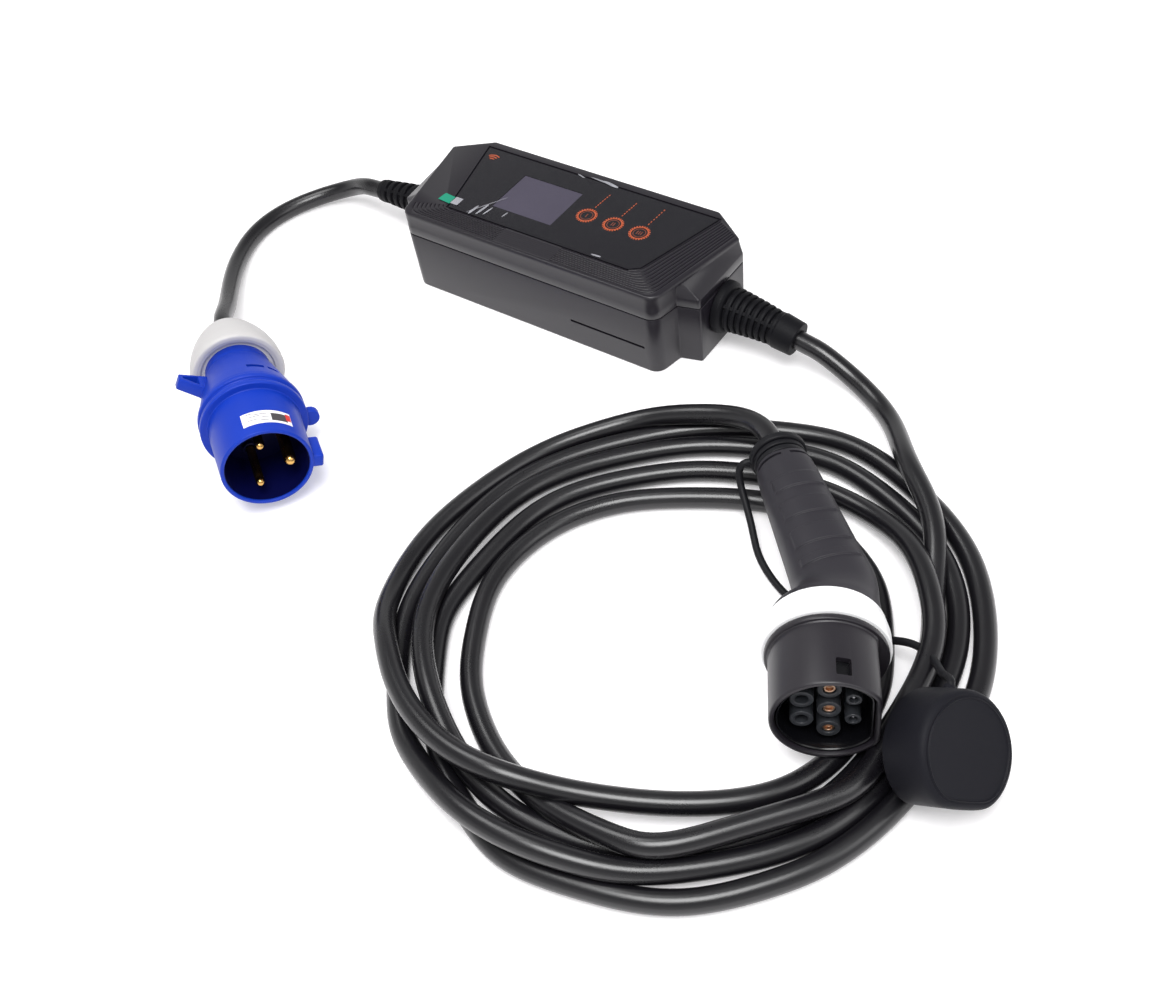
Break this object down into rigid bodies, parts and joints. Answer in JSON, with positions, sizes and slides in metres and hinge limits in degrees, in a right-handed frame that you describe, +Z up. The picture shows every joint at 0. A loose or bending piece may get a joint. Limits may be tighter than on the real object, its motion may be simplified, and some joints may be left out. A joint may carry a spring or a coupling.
{
  "type": "portable electric car charging lead",
  "caption": "Portable car charging lead: control box with a display, blue industrial plug, coiled cable, car connector and rubber cap.",
  "frame": {"origin": "middle of the control box's footprint, on the floor it lies on", "axes": "+X along the box towards the output lead, +Y to the back of the box, +Z up"},
  "size_m": [0.7139, 0.451, 0.0778],
  "materials": {
    "black_plastic": "dark grey-black fine-textured plastic",
    "soft_black": "soft matte black",
    "relief_rubber": "matte black rubber",
    "grip_plastic": "soft-touch dark grey",
    "cap_rubber": "matte black rubber",
    "gloss_black": "glossy black",
    "display_glass": "dark grey display behind a clear window",
    "board_green": "green circuit board",
    "relay_plastic": "blue relay case",
    "grey_plastic": "light grey satin plastic",
    "steel": "plated steel",
    "clear_film": "clear protective film",
    "tab_green": "green pull tab",
    "label_white": "blank white label",
    "blue_plastic": "satin blue plastic",
    "white_plastic": "smooth white plastic",
    "brass": "bare brass",
    "copper": "copper alloy",
    "cable_jacket": "black satin cable jacket"
  },
  "bodies": {
    "root": {"buzzer": "soft_black", "cap_strap": "relief_rubber", "case_gasket": "soft_black", "connector_boot": "relief_rubber", "connector_collar": "white_plastic", "connector_handle": "grip_plastic", "connector_insert": "gloss_black", "connector_nose": "black_plastic", "cover_screw_1": "steel", "cover_screw_2": "steel", "cover_screw_3": "steel", "cover_screw_4": "steel", "current_sensor": "soft_black", "display_board": "board_green", "display_module": "display_glass", "earth_contact": "copper", "face_panel": "gloss_black", "film_pull_tab": "tab_green", "input_cable": "cable_jacket", "input_strain_relief": "relief_rubber", "input_terminal_block": "grey_plastic", "line_contact": "copper", "line_relay": "relay_plastic", "lower_case": "black_plastic", "main_board": "board_green", "neutral_contact": "copper", "neutral_relay": "relay_plastic", "output_coil": "cable_jacket", "output_lead": "cable_jacket", "output_strain_relief": "relief_rubber", "output_tail": "cable_jacket", "pilot_contact": "copper", "plug_earth_pin": "brass", "plug_gland_nut": "grey_plastic", "plug_gland_seal": "relief_rubber", "plug_label": "label_white", "plug_line_pin": "brass", "plug_neutral_pin": "brass", "plug_pin_carrier": "gloss_black", "plug_rear_body": "blue_plastic", "plug_shroud": "blue_plastic", "power_supply": "soft_black", "protective_cap": "cap_rubber", "protective_film": "clear_film", "proximity_contact": "copper", "supply_capacitor": "soft_black", "tether_ring": "relief_rubber", "touch_spring_1": "steel", "touch_spring_2": "steel", "touch_spring_3": "steel", "upper_cover": "black_plastic"}
  },
  "joints": []
}
